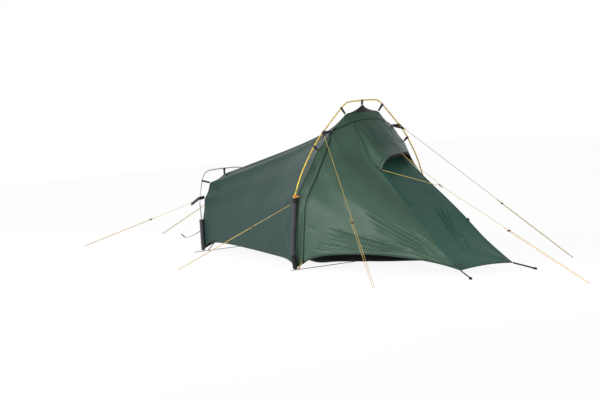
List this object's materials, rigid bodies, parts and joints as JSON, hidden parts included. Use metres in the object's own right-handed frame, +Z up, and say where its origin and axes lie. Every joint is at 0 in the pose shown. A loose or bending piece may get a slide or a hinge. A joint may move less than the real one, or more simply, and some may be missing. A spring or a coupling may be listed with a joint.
{
  "type": "backpacking tent",
  "caption": "Low tunnel tent on a high and a low hoop pole, with a clipped fly, a hooded front vent, a zipped vestibule door, an inner tent and guy lines.",
  "frame": {"origin": "on the ground under the middle of the tent's box, measured without its guy lines", "axes": "+X towards the front panel, +Y towards the side without the zip, +Z up"},
  "size_m": [5.2423, 1.7643, 1.0866],
  "materials": {
    "fly_slate": "coated ripstop, slight sheen",
    "fly_green": "coated ripstop, slight sheen",
    "fly_teal": "coated ripstop, slight sheen",
    "webbing": "woven, matte",
    "inner_cloth": "thin cloth and mesh, matte",
    "yellow_webbing": "woven, matte",
    "guy_cord": "braided cord",
    "main_pole_tube": "gold anodised, satin",
    "rear_pole_tube": "grey anodised, satin",
    "lock_plastic": "orange moulded plastic",
    "black_plastic": "black moulded plastic"
  },
  "bodies": {
    "tent": {"main_pole_near_leg": "main_pole_tube", "main_pole_near_shoulder": "main_pole_tube", "main_pole_crown": "main_pole_tube", "main_pole_far_shoulder": "main_pole_tube", "main_pole_far_leg": "main_pole_tube", "rear_pole_near_leg": "rear_pole_tube", "rear_pole_crown": "rear_pole_tube", "rear_pole_far_leg": "rear_pole_tube", "main_sleeve_near": "webbing", "main_sleeve_far": "webbing", "rear_sleeve_near": "webbing", "rear_sleeve_far": "webbing", "cord_lock_near": "lock_plastic", "cord_lock_far": "lock_plastic", "main_ground_band": "webbing", "rear_ground_band": "webbing", "fly_body_near": "fly_slate", "fly_body_far": "fly_slate", "fly_rear_wall": "fly_slate", "fly_jamb": "fly_green", "fly_door": "fly_green", "fly_front_far": "fly_green", "fly_front_panel": "fly_teal", "fly_yoke": "fly_green", "vent_hood": "fly_green", "door_zip": "webbing", "main_clip_top": "webbing", "main_clip_high_near": "webbing", "main_clip_high_far": "webbing", "main_clip_guy_near": "webbing", "main_clip_guy_far": "webbing", "main_clip_low_near": "webbing", "main_clip_low_far": "webbing", "rear_clip_top": "webbing", "rear_clip_high_near": "webbing", "rear_clip_high_far": "webbing", "rear_clip_mid_near": "webbing", "rear_clip_mid_far": "webbing", "front_strap_near": "webbing", "front_strap_far": "webbing", "rear_pull_strap": "webbing", "door_hem_loop": "yellow_webbing", "inner_floor": "inner_cloth", "inner_canopy": "inner_cloth", "guy_line_upper_near": "guy_cord", "guy_line_upper_far": "guy_cord", "guy_line_lower_near": "guy_cord", "guy_line_rear_near": "guy_cord", "guy_line_rear_far": "guy_cord", "guy_line_front": "guy_cord", "hood_bridle": "guy_cord", "bridle_ring": "black_plastic"},
    "slider": {"zip_slider": "black_plastic"},
    "pull": {"zip_pull": "black_plastic"},
    "runner_upper_near": {"tensioner_upper_near": "black_plastic"},
    "runner_upper_far": {"tensioner_upper_far": "black_plastic"},
    "runner_lower_near": {"tensioner_lower_near": "black_plastic"},
    "runner_rear_near": {"tensioner_rear_near": "black_plastic"},
    "runner_rear_far": {"tensioner_rear_far": "black_plastic"},
    "runner_front": {"tensioner_front": "black_plastic"}
  },
  "joints": [
    {"name": "zip_slide", "type": "slide", "parent": "tent", "child": "slider", "axis": [0.1569, -0.0081, 0.9876], "range_m": [0, 0.32]},
    {"name": "pull_swing", "type": "hinge", "parent": "slider", "child": "pull", "pos_m": [0.2729, -0.5203, 0.0633], "axis": [-0.9609, -0.2321, 0.1507], "range_deg": [0, 150]},
    {"name": "upper_near_slide", "type": "slide", "parent": "tent", "child": "runner_upper_near", "axis": [0.738, -0.3282, -0.5897], "range_m": [-0.02, 0.4]},
    {"name": "upper_far_slide", "type": "slide", "parent": "tent", "child": "runner_upper_far", "axis": [0.738, 0.3282, -0.5897], "range_m": [-0.02, 0.4]},
    {"name": "lower_near_slide", "type": "slide", "parent": "tent", "child": "runner_lower_near", "axis": [-0.8101, -0.392, -0.436], "range_m": [-0.015, 0.4]},
    {"name": "rear_near_slide", "type": "slide", "parent": "tent", "child": "runner_rear_near", "axis": [-0.936, -0.2072, -0.2845], "range_m": [-0.02, 0.4]},
    {"name": "rear_far_slide", "type": "slide", "parent": "tent", "child": "runner_rear_far", "axis": [-0.9382, 0.0823, -0.3363], "range_m": [-0.02, 0.4]},
    {"name": "front_slide", "type": "slide", "parent": "tent", "child": "runner_front", "axis": [0.9292, -0.0007, -0.3697], "range_m": [-0.02, 0.4]}
  ]
}
